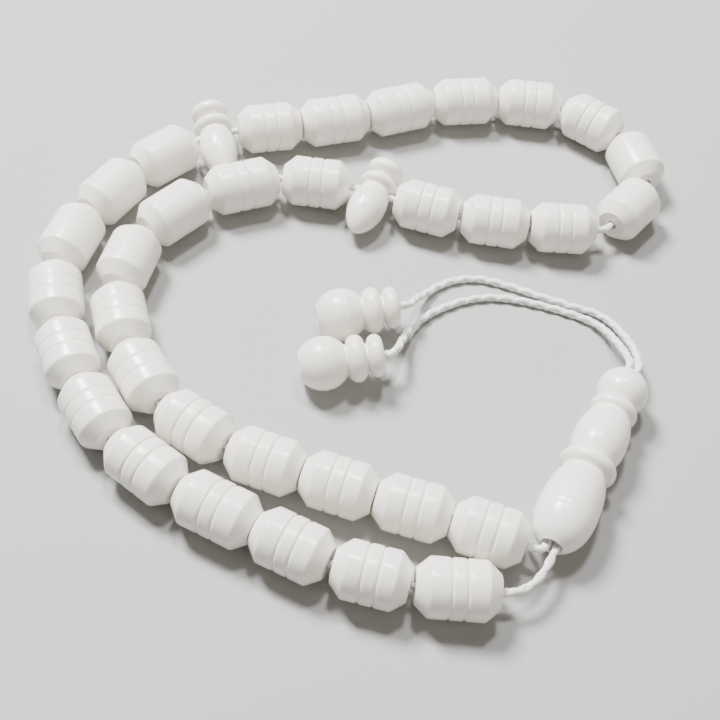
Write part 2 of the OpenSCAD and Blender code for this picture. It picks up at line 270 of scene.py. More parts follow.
def bone_material(name):
    """Polished bone: cloudy cream with lengthwise grain, fine turning lines,
    a few open pores, and painted shade in the grooves, creases and bore mouths."""
    bone = bpy.context.scene.bead_bone
    s = Shading(name)
    # Millimetres from the piece's own middle, +Z along its bore.
    coords = s.attribute("turned")["Vector"]
    cloud = s.noise(coords, 0.16, 3.0, 0.55)
    grain = s.noise(s.stretch(coords, (1.5, 1.5, 0.12)), 1.3, 4.0, 0.6)
    fine = s.noise(s.stretch(coords, (5.0, 5.0, 0.5)), 1.4, 2.0, 0.5)
    base = s.mix(s.band(cloud, 0.32, 0.68), rgba(bone.light), rgba(bone.dark))
    streak = s.maths("MULTIPLY", s.band(grain, 0.5, 0.75), 0.45)
    base = s.mix(streak, base, rgba(Vector(bone.dark) * 0.93))
    cream = s.attribute("cream")["Fac"]
    base = s.mix(cream, base, rgba(bone.cream))
    pores = s.add(
        "ShaderNodeTexVoronoi", {"Vector": s.stretch(coords, (1.0, 1.0, 0.45)), "Scale": 0.75})
    pore = s.maths("SUBTRACT", 1.0, s.band(pores.outputs["Distance"], 0.05, 0.11))
    rare = s.band(s.noise(coords, 0.35, 1.0), 0.55, 0.63)
    pore = s.maths("MULTIPLY", pore, rare)
    base = s.mix(s.maths("MULTIPLY", pore, 0.55), base, rgba(bone.stain_and_shade))
    # Painted shade: the colour darkens, in patches, in the grooves, the creases and round the bore
    # mouths.
    painted_shade = s.attribute("painted_shade")["Fac"]
    patchy = s.band(s.noise(coords, 0.9, 3.0), 0.35, 0.7)
    shade_strength = s.maths("MULTIPLY", painted_shade, s.maths("ADD", s.maths("MULTIPLY", patchy, 0.4), 0.12))
    base = s.mix(shade_strength, base, rgba(bone.stain_and_shade))
    s.put(s.shader.inputs["Base Color"], base)
    dull, bright = bone.roughness, bone.roughness - GRAIN_POLISH
    rough = s.add("ShaderNodeMapRange", {"Value": grain, "To Min": bright, "To Max": dull})
    s.put(s.shader.inputs["Roughness"], rough.outputs["Result"])
    s.shader.inputs["Subsurface Weight"].default_value = 0.35
    s.shader.inputs["Subsurface Radius"].default_value = (1.0, 0.55, 0.3)
    s.shader.inputs["Subsurface Scale"].default_value = 0.0012
    s.shader.inputs["IOR"].default_value = 1.52
    s.shader.inputs["Coat Weight"].default_value = 0.4
    s.shader.inputs["Coat Roughness"].default_value = 0.08
    lines = s.noise(s.stretch(coords, (0.05, 0.05, 6.0)), 1.6, 2.0)
    normal = s.bump(lines, 0.12, 0.00004)
    normal = s.bump(fine, 0.12, 0.00005, normal)
    normal = s.bump(pore, 0.6, -0.00008, normal)
    s.put(s.shader.inputs["Normal"], normal)
    return s.material


def thread_material(name):
    """White plaited thread: filaments along each strand, with a soft sheen."""
    cord = bpy.context.scene.bead_cord
    s = Shading(name)
    along = s.attribute("along")["Vector"]
    filaments = s.noise(s.stretch(along, (0.35, 7.0, 7.0)), 1.6, 3.0, 0.6)
    cloud = s.noise(along, 0.5, 2.0)
    base = s.mix(s.band(filaments, 0.3, 0.7), rgba(Vector(cord.color) * 0.84), rgba(cord.color))
    base = s.mix(s.maths("MULTIPLY", s.band(cloud, 0.5, 0.8), 0.25), base, (0.78, 0.75, 0.68, 1))
    s.put(s.shader.inputs["Base Color"], base)
    rough = s.add("ShaderNodeMapRange", {"Value": filaments, "To Min": 0.38, "To Max": 0.6})
    s.put(s.shader.inputs["Roughness"], rough.outputs["Result"])
    s.shader.inputs["Sheen Weight"].default_value = 0.25
    s.shader.inputs["Subsurface Weight"].default_value = 0.15
    s.shader.inputs["Subsurface Radius"].default_value = (1.0, 0.95, 0.85)
    s.shader.inputs["Subsurface Scale"].default_value = 0.0003
    s.put(s.shader.inputs["Normal"], s.bump(filaments, 0.5, 0.00006))
    return s.material


def floor_material(name):
    """A plain pale matt surface with a faint tooth."""
    stage = bpy.context.scene.bead_stage
    s = Shading(name)
    coords = s.add("ShaderNodeTexCoord").outputs["Object"]
    tooth = s.noise(coords, 900.0, 3.0)
    low = rgba(Vector(stage.floor_color) * 0.97)
    s.put(s.shader.inputs["Base Color"], s.mix(tooth, low, rgba(stage.floor_color)))
    s.shader.inputs["Roughness"].default_value = 0.85
    s.put(s.shader.inputs["Normal"], s.bump(tooth, 0.05, 0.0001))
    return s.material


def material_once(name, maker):
    return bpy.data.materials.get(name) or maker(name)


# ---------------------------------------------------------------- mesh tools


def deselect():
    if bpy.context.mode != "OBJECT":
        bpy.ops.object.mode_set(mode="OBJECT")
    bpy.ops.object.select_all(action="DESELECT")


def only(piece):
    deselect()
    piece.select_set(True)
    bpy.context.view_layer.objects.active = piece


def turned(name, outline, sides):
    """A turned piece standing on +Z: a ring of edges drawn out along the outline
    of (radius, height), from the mouth of the bore round the outside and back."""
    deselect()
    radius, height = outline[0]
    bpy.ops.mesh.primitive_circle_add(
        vertices=sides, radius=radius, location=(0, 0, height), fill_type="NOTHING")
    piece = bpy.context.active_object
    piece.name = name
    bpy.ops.object.transform_apply(location=True, rotation=True, scale=True)
    bpy.ops.object.mode_set(mode="EDIT")
    bpy.ops.mesh.select_all(action="SELECT")
    for next_radius, next_height in outline[1:] + outline[:1]:
        bpy.ops.mesh.extrude_edges_move(
            TRANSFORM_OT_translate={"value": (0, 0, next_height - height)})
        if abs(next_radius - radius) > 1e-9:
            size = next_radius / radius
            bpy.ops.transform.resize(value=(size, size, 1), center_override=(0, 0, 0))
        radius, height = next_radius, next_height
    bpy.ops.mesh.select_all(action="SELECT")
    bpy.ops.mesh.remove_doubles(threshold=1e-6)
    bpy.ops.mesh.normals_make_consistent(inside=False)
    bpy.ops.object.mode_set(mode="OBJECT")
    return piece


def smooth(piece, angle=35):
    only(piece)
    bpy.ops.object.shade_smooth_by_angle(angle=math.radians(angle))


def copy_of(piece, name):
    only(piece)
    bpy.ops.object.duplicate(linked=False)
    twin = bpy.context.active_object
    twin.name = name
    twin.data.name = name
    return twin


def remove(piece):
    only(piece)
    bpy.ops.object.delete()


def remember(piece, shift, cream, painted_shade=None):
    """Stores, for the materials, each point's place on the upright piece in
    millimetres, how creamy the piece is, and where shade is painted."""
    mesh = piece.data
    points = np.empty(len(mesh.vertices) * 3, np.float32)
    mesh.vertices.foreach_get("co", points)
    points = points.reshape(-1, 3)
    place = mesh.attributes.new("turned", "FLOAT_VECTOR", "POINT")
    place.data.foreach_set("vector", (points / MM + np.array(shift, np.float32)).ravel())
    tint = mesh.attributes.new("cream", "FLOAT", "POINT")
    tint.data.foreach_set("value", np.full(len(points), cream, np.float32))
    amounts = np.zeros(len(points), np.float32) if painted_shade is None else painted_shade(points)
    stain_and_shade = mesh.attributes.new("painted_shade", "FLOAT", "POINT")
    stain_and_shade.data.foreach_set("value", amounts.astype(np.float32))


def lay(piece, place, direction, roll=0.0):
    """Lays an upright piece along a direction, in place, with its mesh moved."""
    only(piece)
    turn = Vector(direction).to_track_quat("Z", "Y").to_matrix().to_4x4()
    piece.matrix_world = Matrix.Translation(place) @ turn @ Matrix.Rotation(roll, 4, "Z")
    bpy.ops.object.transform_apply(location=True, rotation=True, scale=True)


def finish_piece(piece, material, body, slot, *nodes):
    piece.data.materials.clear()
    piece.data.materials.append(material)
    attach(piece, body)
    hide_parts(*nodes)


def middle(node):
    low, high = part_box(node)
    return (low + high) / 2


def axis_of(body):
    return Vector(JOINTS[body]["axis"]).normalized()


def ends_along(node, direction):
    """The two ends of a turned node's own middle line, along a direction."""
    points = np.array([v.co for v in frame["nodes"][node].data.vertices])
    side = direction.cross(UP).normalized()
    top = side.cross(direction)
    reach = points @ np.array(direction)
    across = points @ np.array(side)
    over = points @ np.array(top)
    line = side * ((across.min() + across.max()) / 2) + top * ((over.min() + over.max()) / 2)
    return line + direction * reach.min(), line + direction * reach.max()


# ---------------------------------------------------------------- outlines


def rounded(points, radius, steps=4):
    """An outline with its corners rounded by arcs of up to the radius."""
    result = [points[0]]
    for a, b, c in zip(points, points[1:], points[2:]):
        a, b, c = Vector(a), Vector(b), Vector(c)
        back, on = (a - b), (c - b)
        reach = min(radius, back.length * 0.45, on.length * 0.45)
        start = b + back.normalized() * reach
        end = b + on.normalized() * reach
        for k in range(steps + 1):
            t = k / steps
            result.append(tuple((1 - t) ** 2 * start + 2 * t * (1 - t) * b + t * t * end))
    return result + [points[-1]]


def ring_radius(u, centre, radius, half):
    """Radius at u of a rounded ring."""
    if abs(u - centre) >= half:
        return 0.0
    return radius - half + math.sqrt(half * half - (u - centre) ** 2)


def oval_radius(u, centre, radius, below, above, bulge=2.2):
    """Radius at u of an oval that reaches below and above its centre."""
    t = abs(u - centre) / (below if u < centre else above)
    return 0.0 if t >= 1 else radius * (1 - t ** bulge) ** (1 / bulge)


def bored(outside, bore, chamfer=BORE_CHAMFER):
    """Closes an outside outline with its bore, chamfered at both mouths."""
    low = outside[0][1]
    high = outside[-1][1]
    return (
        [(bore, low + chamfer), (bore + chamfer, low)]
        + outside
        + [(bore + chamfer, high), (bore, high - chamfer)]
        + [(bore, low + (high - low) * k / 4) for k in (3, 2, 1)]
    )


def bead_outline(depth_share):
    """Outside of a counting bead from one end flat to the other."""
    bead = bpy.context.scene.bead_bead
    half, radius = bead.length / 2, bead.diameter / 2
    middle_line, width = bead.groove_pitch / 2, bead.groove_width / 2
    floor = radius - bead.groove_depth * depth_share
    groove = [(radius, -width), (floor, 0), (radius, width)] if depth_share else []
    points = [(bead.face / 2, -half), (radius, -half + bead.cone)]
    points += [(r, z - middle_line) for r, z in groove]
    points += [(r, z + middle_line) for r, z in groove]
    points += [(radius, half - bead.cone), (bead.face / 2, half)]
    lead = [(bead.face / 2 - 0.3 * MM, -half)]
    tail = [(bead.face / 2 - 0.3 * MM, half)]
    return rounded(lead + points + tail, bead.edge)


def sampled(radius_at, low, high, steps, least):
    """Outline of a turned shape given by its radius at each height."""
    heights = [low + (high - low) * k / steps for k in range(steps + 1)]
    return [(max(least, radius_at(z)), z) for z in heights]


LEADER_MM = {
    "oval_1": (6.5, 1.0, 6.9, 10.2),
    "ring_1": (15.3, 4.5 / 4.65, 1.3),
    "oval_2": (20.6, 4.3 / 4.65, 5.6, 7.4),
    "ring_2": (27.1, 3.85 / 4.65, 1.25),
    "ball": (31.5, 4.1 / 4.65),
}
LEADER_LINES = (5.3, 7.6)
LEADER_LINE_DEPTH = 0.07
LINE_REACH = 0.3
# Heights in millimetres of the creases between the turnings, where shade is painted.
LEADER_CREASES = (13.95, 16.7, 25.8, 28.4)


def leader_radius(z):
    """The leader's outline: oval, ring, smaller oval, ring and ball."""
    radius = bpy.context.scene.bead_turned.leader_diameter / 2
    u, r = z / MM, radius / MM
    ball = LEADER_MM["ball"][1] * r
    at, share, below, above = LEADER_MM["oval_1"]
    outline = oval_radius(u, at, share * r, below, above)
    at, share, half = LEADER_MM["ring_1"]
    outline = max(outline, ring_radius(u, at, share * r, half))
    at, share, below, above = LEADER_MM["oval_2"]
    outline = max(outline, oval_radius(u, at, share * r, below, above))
    at, share, half = LEADER_MM["ring_2"]
    outline = max(outline, ring_radius(u, at, share * r, half))
    outline = max(outline, oval_radius(u, LEADER_MM["ball"][0], ball, ball, ball, 2))
    line = min(abs(u - at) for at in LEADER_LINES)
    return (outline - LEADER_LINE_DEPTH * max(0, 1 - line / LINE_REACH)) * MM


MARKER_OVAL = (-3.2 * MM, 6.2 * MM, 0.95)
MARKER_TURN = (math.radians(-9), math.radians(-4))
MARKER_ROOM = 0.8 * MM
MARKER_COLLAR = (1.9 * MM, 1.15 * MM)
MARKER_DISC = (5.2 * MM, 3.35 / 3.5, 1.75 * MM)
MARKER_NECK = 0.6
MARKER_TIP = 0.05 * MM


def marker_radius(z):
    """A marker's outline: egg, collar, neck and domed head."""
    turned_sizes = bpy.context.scene.bead_turned
    radius = turned_sizes.marker_diameter / 2
    at, above, share = MARKER_OVAL
    if z < at:
        below = (at - z) / (turned_sizes.marker_point + at)
        egg = share * radius * max(0, 1 - below ** 2) ** 0.62
    else:
        egg = share * radius * math.sqrt(max(0, 1 - ((z - at) / above) ** 2))
    disc_at, disc_share, disc_below = MARKER_DISC
    neck = MARKER_NECK * radius if 0 < z < disc_at else 0
    head = oval_radius(
        z, disc_at, disc_share * radius, disc_below, turned_sizes.marker_head - disc_at, 2.4)
    return max(egg, neck, head, ring_radius(z, MARKER_COLLAR[0], radius, MARKER_COLLAR[1]))


TIP_RING_1 = (1.25 * MM, 3.5 / 4.4, 1.25 * MM)
TIP_RING_2 = (4.4 * MM, 3.85 / 4.4, 1.5 * MM)
TIP_FLAT = 2.1 * MM
TIP_NECK = 0.5
TIP_LINE = 0.6 * MM
TIP_LINE_DEPTH = 0.09 * MM
TIP_POCKET = 1.7 * MM
# Heights in millimetres of the creases beside the second ring, where shade is painted.
TIP_CREASES = (2.7, 5.95)


def tip_radius(z):
    """A tip's outline: two rounded rings and a ball with a flat end and a faint line."""
    turned_sizes = bpy.context.scene.bead_turned
    ball = turned_sizes.tip_diameter / 2
    ball_at = turned_sizes.tip_length - math.sqrt(ball ** 2 - TIP_FLAT ** 2)
    radius = TIP_NECK * ball
    for at, share, half in (TIP_RING_1, TIP_RING_2):
        radius = max(radius, ring_radius(z, at, share * ball, half))
    line = abs(z - ball_at + TIP_LINE)
    groove = TIP_LINE_DEPTH * max(0, 1 - line / (LINE_REACH * MM))
    return max(radius, oval_radius(z, ball_at, ball, ball, ball, 2)) - groove


# ---------------------------------------------------------------- cords


def resampled(points, step):
    """Points about one step apart along a route."""
    points = np.array([tuple(p) for p in points])
    spans = np.linalg.norm(np.diff(points, axis=0), axis=1)
    keep = np.concatenate([[True], spans > 1e-9])
    points = points[keep]
    reach = np.concatenate([[0], np.cumsum(np.linalg.norm(np.diff(points, axis=0), axis=1))])
    count = max(2, int(round(reach[-1] / step)) + 1)
    where = np.linspace(0, reach[-1], count)
    return np.stack([np.interp(where, reach, points[:, k]) for k in range(3)], axis=1)


def curved(points, steps=8):
    """A smooth curve through all the points."""
    p = [Vector(q) for q in points]
    p = [p[0] * 2 - p[1]] + p + [p[-1] * 2 - p[-2]]
    result = []
    for a, b, c, d in zip(p, p[1:], p[2:], p[3:]):
        for k in range(steps):
            t = k / steps
            result.append(
                0.5 * (2 * b + (c - a) * t + (2 * a - 5 * b + 4 * c - d) * t * t
                       + (3 * b - a - 3 * c + d) * t ** 3))
    return result + [p[-2]]


def frames_along(points):
    """Two steady side directions along a route."""
    tangents = np.gradient(points, axis=0)
    tangents /= np.linalg.norm(tangents, axis=1)[:, None]
    side = np.cross(tangents[0], (0, 0, 1))
    sides = []
    for tangent in tangents:
        side = side - tangent * np.dot(side, tangent)
        side = side / np.linalg.norm(side)
        sides.append(side)
    sides = np.array(sides)
    return sides, np.cross(sides, tangents)


def tube(points, across, over, width, thick, sides):
    """Corners and faces of a closed tube of oval section."""
    turn = np.linspace(0, 2 * math.pi, sides, endpoint=False)
    ring = (
        across[:, None, :] * (width * np.cos(turn))[None, :, None]
        + over[:, None, :] * (thick * np.sin(turn))[None, :, None]
    )
    corners = (points[:, None, :] + ring).reshape(-1, 3)
    faces = []
    for i in range(len(points) - 1):
        for k in range(sides):
            a, b = i * sides + k, i * sides + (k + 1) % sides
            faces.append((a, b, b + sides, a + sides))
    faces.append(tuple(range(sides - 1, -1, -1)))
    faces.append(tuple(range((len(points) - 1) * sides, len(points) * sides)))
    return corners, faces, turn


# A strand's thickness and width, its rise over the others, and the plait's core,
# as shares of the plait's radius.
PLAIT_SHARES = (0.4, 0.6, 0.14, 0.55)


def plait(name, route, step, sides, diameter=None):
    """A round plait along a route: strands wound both ways, over and under, on a core."""
    cord = bpy.context.scene.bead_cord
    radius = (diameter or cord.diameter) / 2
    thick, width, wave, core = (share * radius for share in PLAIT_SHARES)
    mean = radius - thick - wave
    points = resampled(route, step)
    sides_dir, ups = frames_along(points)
    reach = np.concatenate([[0], np.cumsum(np.linalg.norm(np.diff(points, axis=0), axis=1))])
    turn_rate = 2 * math.pi / cord.lay
    corners, faces, turn = tube(points, sides_dir, ups, core, core, sides)
    along = [np.column_stack([np.repeat(reach / MM, sides), np.zeros((len(corners), 2))])]
    start, corners = len(corners), [corners]
    for hand in (1, -1):
        for k in range(cord.strands):
            angle = hand * turn_rate * reach + 2 * math.pi * k / cord.strands
            out = mean + wave * hand * np.cos(cord.strands * turn_rate * reach)
            over = sides_dir * np.cos(angle)[:, None] + ups * np.sin(angle)[:, None]
            middle_line = points + over * out[:, None]
            run = np.gradient(middle_line, axis=0)
            run /= np.linalg.norm(run, axis=1)[:, None]
            over = over - run * (over * run).sum(1)[:, None]
            over /= np.linalg.norm(over, axis=1)[:, None]
            across = np.cross(run, over)
            c, f, turn = tube(middle_line, across, over, width, thick, sides)
            corners.append(c)
            faces += [tuple(i + start for i in face) for face in f]
            ring = np.stack([np.cos(turn) * width, np.sin(turn) * thick], 1) / MM
            lengths = np.repeat(reach / MM + 37 * (k + 2 * (hand > 0)), sides)
            along.append(np.column_stack([lengths, np.tile(ring, (len(points), 1))]))
            start += len(c)
    mesh = bpy.data.meshes.new(name)
    mesh.from_pydata(np.concatenate(corners).tolist(), [], faces)
    mesh.validate()
    place = mesh.attributes.new("along", "FLOAT_VECTOR", "POINT")
    place.data.foreach_set("vector", np.concatenate(along).astype(np.float32).ravel())
    piece = bpy.data.objects.new(name, mesh)
    bpy.context.scene.collection.objects.link(piece)
    only(piece)
    bpy.ops.object.mode_set(mode="EDIT")
    bpy.ops.mesh.select_all(action="SELECT")
    bpy.ops.mesh.normals_make_consistent(inside=False)
    bpy.ops.object.mode_set(mode="OBJECT")
    smooth(piece, 60)
    return piece


LEADER_DIR = axis_of("leader")
LEADER_SIDE = LEADER_DIR.cross(UP).normalized()
LEADER_FOOT, LEADER_TOP = ends_along("leader", LEADER_DIR)
CORD_OFFSET = LEADER_SIDE * 0.75 * MM
CORD_SIDE_ROOM = 0.05 * MM
TAIL_STRAIGHT = 2.4 * MM
KNOT_DEPTH = 3.6 * MM
KNOT_ROOM = 0.2 * MM
KNOT_RADIUS = 1.3 * MM
KNOT_LENGTH = 2.4 * MM
KNOT_THREAD = 0.42 * MM
PULL_RIGHT = 14 * MM
PULL_LEFT = 5 * MM

# The tails' routes in millimetres from the leader's top, each point with its
# height above where the cord would lie on the table.
TAIL_A_POINTS = [
    (1.6, 4.8, 3.3), (1, 7.7, 2.5), (-0.3, 10.9, 1.5), (-2, 13.8, 0.6),
    (-4.6, 15.8, 0.1), (-8.4, 16.7, 0), (-11.7, 17.5, 0), (-15, 18.3, 0),
    (-18.4, 19.2, 0), (-21.2, 19.8, 0), (-24, 20.2, 0), (-26.8, 19.9, 0),
    (-29.4, 18.9, 0), (-31.8, 17.2, 0.1), (-33.5, 15.1, 0.6),
    (-34.9, 12.9, 1.7), (-35.7, 11, 3), (-36.2, 9.3, 4.2), (-37, 8.2, 4.8),
]
TAIL_B_POINTS = [
    (-0.2, 5, 3.3), (-1.3, 7.8, 2.4), (-2.6, 10.6, 1.4), (-4.3, 12.9, 0.5),
    (-6.4, 14.2, 0.1), (-8.8, 15, 0), (-11.9, 15.7, 0), (-15, 16.2, 0),
    (-18, 16.5, 0), (-20.8, 16.5, 0), (-23.2, 16.2, 0), (-25.4, 15.5, 0),
    (-27.5, 14.6, 0), (-29.6, 13.3, 0), (-31.6, 11.8, 0.1), (-33.5, 9.9, 0.3),
    (-35.1, 7.7, 0.8), (-36.2, 5.3, 1.6), (-36.9, 2.9, 2.7),
    (-37.4, 0.6, 3.9), (-37.9, -1.2, 4.6), (-38.7, -2.2, 4.8),
]


def tail_route(side, points, tip):
    """From the leader's top, along the table, to the knot inside a tip."""
    cord = bpy.context.scene.bead_cord
    tip_length = bpy.context.scene.bead_turned.tip_length
    start = LEADER_TOP + side
    laid = [
        Vector((LEADER_TOP.x + x * MM, LEADER_TOP.y + y * MM, cord.diameter / 2 + z * MM))
        for x, y, z in points
    ]
    entry = Vector(JOINTS[tip]["pos_m"])
    inward = axis_of(tip)
    knot = entry + inward * (tip_length - KNOT_DEPTH)
    bend = [start, start + LEADER_DIR * TAIL_STRAIGHT] + laid + [entry]
    return curved(bend) + [entry + (knot - entry) * k / 8 for k in range(1, 9)]


def lead(a, u, b, v, steps=24):
    """A smooth lead from point a, heading u, to point b, heading v."""
    result = []
    for k in range(steps + 1):
        t = k / steps
        result.append(
            a * (2 * t ** 3 - 3 * t ** 2 + 1) + u * (t ** 3 - 2 * t ** 2 + t)
            + b * (3 * t ** 2 - 2 * t ** 3) + v * (t ** 3 - t ** 2))
    return result


def length_on_cord(name):
    foot, top = ends_along(name, axis_of(name))
    return (top - foot).length


def string_pieces():
    """Centre, direction and half length on the cord of each piece of the string."""
    sizes = bpy.context.scene.bead_turned
    order = list(BEAD_NAMES)
    order.insert(22, "marker_2")
    order.insert(11, "marker_1")
    result = []
    for name in order:
        marker = name.startswith("marker")
        centre = Vector(JOINTS[name]["pos_m"]) if marker else middle(name)
        length = sizes.marker_diameter + MARKER_ROOM if marker else length_on_cord(name)
        result.append((centre, axis_of(name), length / 2))
    return result


def bend_between(a, direction_a, b, direction_b, steps=6):
    """A rounded bend from one end face to the next, tangent to both bores."""
    gap = (b - a).length
    corner = a + direction_a * gap / 2
    turn = direction_a.cross(direction_b).z
    if abs(turn) > 1e-4:
        corner = a + direction_a * ((b - a).cross(direction_b).z / turn)
    result = []
    for k in range(steps + 1):
        t = k / steps
        result.append(a * (1 - t) ** 2 + corner * 2 * t * (1 - t) + b * t * t)
    return result


def loop_route():
    """Down the leader, through the whole string, and back up the leader."""
    pieces = string_pieces()
    right, left = LEADER_FOOT + CORD_OFFSET, LEADER_FOOT - CORD_OFFSET
    first, last = pieces[0], pieces[-1]
    start = first[0] - first[1] * first[2]
    end = last[0] + last[1] * last[2]
    route = [LEADER_TOP + CORD_OFFSET]
    route += lead(right, -LEADER_DIR * PULL_RIGHT, start, first[1] * PULL_RIGHT)
    for here, there in zip(pieces, pieces[1:]):
        face = here[0] + here[1] * here[2]
        next_face = there[0] - there[1] * there[2]
        route += bend_between(face, here[1], next_face, there[1])
    route += lead(end, last[1] * PULL_LEFT, left, LEADER_DIR * PULL_LEFT)
    return route + [LEADER_TOP - CORD_OFFSET]


def knot_path(place, direction, radius, length):
    """The line of a small overhand knot about an axis."""
    turn = direction.to_track_quat("Z", "Y").to_matrix()
    result = []
    for k in range(97):
        t = 2 * math.pi * k / 96
        wide = (2 + math.cos(3 * t)) / 3 * radius
        here = Vector((wide * math.cos(2 * t), wide * math.sin(2 * t),
                       math.sin(3 * t) * length / 2))
        result.append(place + turn @ here)
    return result


# ---------------------------------------------------------------- operators


class BEADS_OT_stage(bpy.types.Operator):
    """Lay the plain pale floor and set the lights and the camera"""

    bl_idname = "prayer_beads.stage"
    bl_label = "Stage"

    def execute(self, context):
        stage = context.scene.bead_stage
        deselect()
        bpy.ops.mesh.primitive_plane_add(size=stage.floor_size, location=(0, 0, 0))
        floor = context.active_object
        floor.name = "floor"
        floor.data.materials.append(material_once("floor_matt", floor_material))
        self.camera(context, stage)
        self.lights(context)
        return {"FINISHED"}

    def camera(self, context, stage):
        """The camera stands straight in front of its aim and looks along +Y."""
        dip, roll = stage.camera_dip, stage.camera_roll
        look = Vector((0, math.cos(dip), -math.sin(dip)))
        right = Vector((1, 0, 0))
        up = right.cross(look)
        right, up = (
            right * math.cos(roll) + up * math.sin(roll),
            up * math.cos(roll) - right * math.sin(roll),
        )
        data = bpy.data.cameras.new("camera")
        data.sensor_width = 36
        data.lens = stage.camera_lens
        data.clip_start = 0.01
        camera = bpy.data.objects.new("camera", data)
        turn = Matrix((right, up, -look)).transposed().to_4x4()
        camera.matrix_world = Matrix.Translation(stage.camera_place) @ turn
        context.scene.collection.objects.link(camera)
        context.scene.camera = camera

    def lights(self, context):
        """A key from the upper left, a small lamp behind, a warm fill from the right
        and a pale sky."""
        white, warm = (1.0, 1.0, 1.0), (1.0, 0.88, 0.74)
        for name, place, size, power, color in (
            ("key", (-0.3, 0.3, 0.6), 0.2, 18.0, white),
            ("lamp", (0.0, 0.25, 0.75), 0.1, 5.0, white),
            ("fill", (0.6, -0.5, 0.4), 0.7, 2.2, warm),
        ):
            data = bpy.data.lights.new(name, "AREA")
            data.size = size
            data.energy = power
            data.color = color
            light = bpy.data.objects.new(name, data)
            light.location = place
            light.rotation_euler = (-Vector(place)).to_track_quat("-Z", "Y").to_euler()
            context.scene.collection.objects.link(light)
        world = bpy.data.worlds.new("sky")
        world.use_nodes = True
        background = world.node_tree.nodes["Background"]
        background.inputs["Color"].default_value = (1.0, 0.98, 0.95, 1)
        background.inputs["Strength"].default_value = 0.18
        context.scene.world = world


class BEADS_OT_cords(bpy.types.Operator):
    """Plait the two tail cords, the loop cord and the stopper knots"""

    bl_idname = "prayer_beads.cords"
    bl_label = "Cords"

    def execute(self, context):
        thread = material_once("plaited_thread", thread_material)
        for letter, side, points in (
            ("a", CORD_OFFSET, TAIL_A_POINTS),
            ("b", -CORD_OFFSET, TAIL_B_POINTS),
        ):
            route = tail_route(side, points, f"tip_{letter}")
            tail = plait(f"plaited_tail_{letter}", route, 0.2 * MM, 8)
            finish_piece(tail, thread, "cord", "cord_thread", f"tail_cord_{letter}")
            self.knot(thread, letter)
        loop = plait("plaited_loop", loop_route(), 0.3 * MM, 6)
        finish_piece(loop, thread, "cord", "cord_thread", "loop_cord")
        return {"FINISHED"}

    def knot(self, thread, letter):
        """A stopper knot in the pocket of a tip."""
        direction = axis_of(f"tip_{letter}")
        low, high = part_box(f"knot_{letter}")
        path = knot_path((low + high) / 2, direction, KNOT_RADIUS - KNOT_THREAD,
                         KNOT_LENGTH - 2 * KNOT_THREAD)
        piece = plait(f"stopper_knot_{letter}", path, 0.15 * MM, 6, 2 * KNOT_THREAD)
        finish_piece(piece, thread, "cord", "cord_thread", f"knot_{letter}")


class BEADS_OT_counting(bpy.types.Operator):
    """Turn the thirty-three counting beads and thread them on the string"""

    bl_idname = "prayer_beads.counting"
    bl_label = "Counting Beads"

    faint = (6, 7, 8, 27, 28)
    plain = (9, 10, 11, 18, 19, 25, 26)
    cream = {18: 0.55, 20: 0.6, 19: 0.0, 16: 0.15, 21: 0.2, 9: 0.25, 10: 0.2}
    mouth = 1.3 * MM

    def execute(self, context):
        sides = context.scene.bead_turned.sides
        cord = context.scene.bead_cord
        bore = cord.diameter / 2 + cord.clearance
        bone = material_once("bead_bone", bone_material)
        models = {}
        for share in (1.0, 0.4, 0.0):
            models[share] = turned(
                f"bead_model_{share}", bored(bead_outline(share), bore), sides)
            smooth(models[share])
        dice = random.Random(33)
        for number, node in enumerate(BEAD_NAMES, 1):
            share = 0.4 if number in self.faint else 0.0 if number in self.plain else 1.0
            bead = copy_of(models[share], f"counting_{node}")
            self.lengthen(context, bead, length_on_cord(node))
            shift = [dice.uniform(-MODEL_SHIFT, MODEL_SHIFT) for _ in range(3)]
            cream = self.cream.get(number, dice.uniform(0, 0.12))
            remember(bead, shift, cream, self.stain_and_shade(context, share))
            lay(bead, middle(node), axis_of(node), dice.uniform(0, 2 * math.pi))
            finish_piece(bead, bone, node, "bead_bone", node)
        for model in models.values():
            remove(model)
        return {"FINISHED"}

    def lengthen(self, context, piece, length):
        """Moves both ends apart to a length, leaving the grooves as they are."""
        bead = context.scene.bead_bead
        grooved = bead.groove_pitch / 2 + bead.groove_width
        points = np.empty(len(piece.data.vertices) * 3)
        piece.data.vertices.foreach_get("co", points)
        points = points.reshape(-1, 3)
        height = points[:, 2]
        side = np.where(np.abs(height) > grooved, np.sign(height), 0)
        height += side * (length - bead.length) / 2
        piece.data.vertices.foreach_set("co", points.ravel())
        piece.data.update()

    def stain_and_shade(self, context, share):
        """Shade is painted in the grooves and at the mouths of the bore."""
        bead = context.scene.bead_bead

        def painted_shade(points):
            off_groove = np.abs(np.abs(points[:, 2]) - bead.groove_pitch / 2)
            groove = share * (off_groove < bead.groove_width * 0.6)
            radius = np.hypot(points[:, 0], points[:, 1])
            mouth = radius < self.mouth
            return np.maximum(groove, mouth.astype(float))

        return painted_shade


